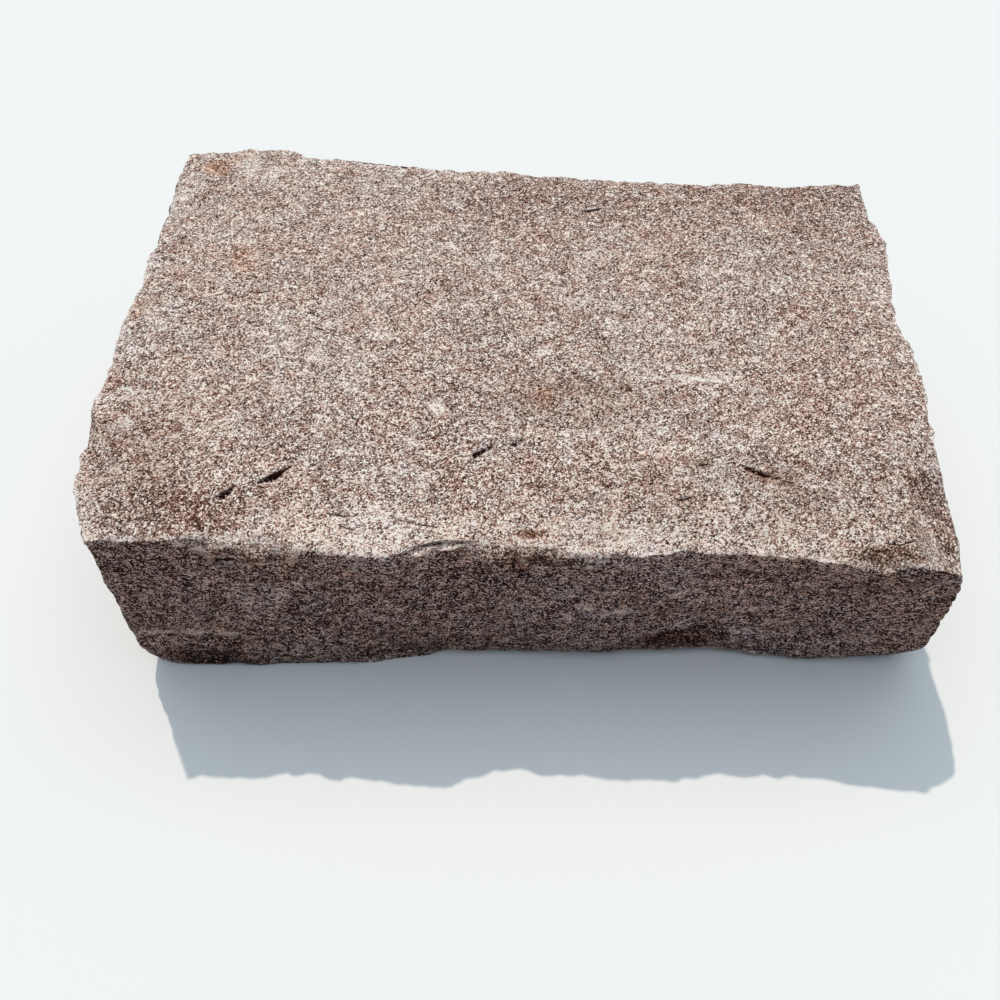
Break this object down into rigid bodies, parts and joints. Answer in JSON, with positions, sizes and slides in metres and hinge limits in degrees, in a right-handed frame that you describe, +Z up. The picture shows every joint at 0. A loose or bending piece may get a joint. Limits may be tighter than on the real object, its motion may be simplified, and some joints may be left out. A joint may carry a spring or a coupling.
{
  "type": "granite belgian block",
  "caption": "Split granite paving block, roughly rectangular, with a flat bed, a gently sloping rough top, sharp chipped arrises and undercut split faces",
  "frame": {"origin": "middle of the block's bounding box, on the level of the flat bed that it lies on", "axes": "+X along the block's length towards its lower end, +Y from the front face to the higher back face, +Z up"},
  "size_m": [0.2917, 0.2059, 0.0991],
  "materials": {
    "granite": "matte"
  },
  "bodies": {
    "root": {"block": "granite"}
  },
  "joints": []
}
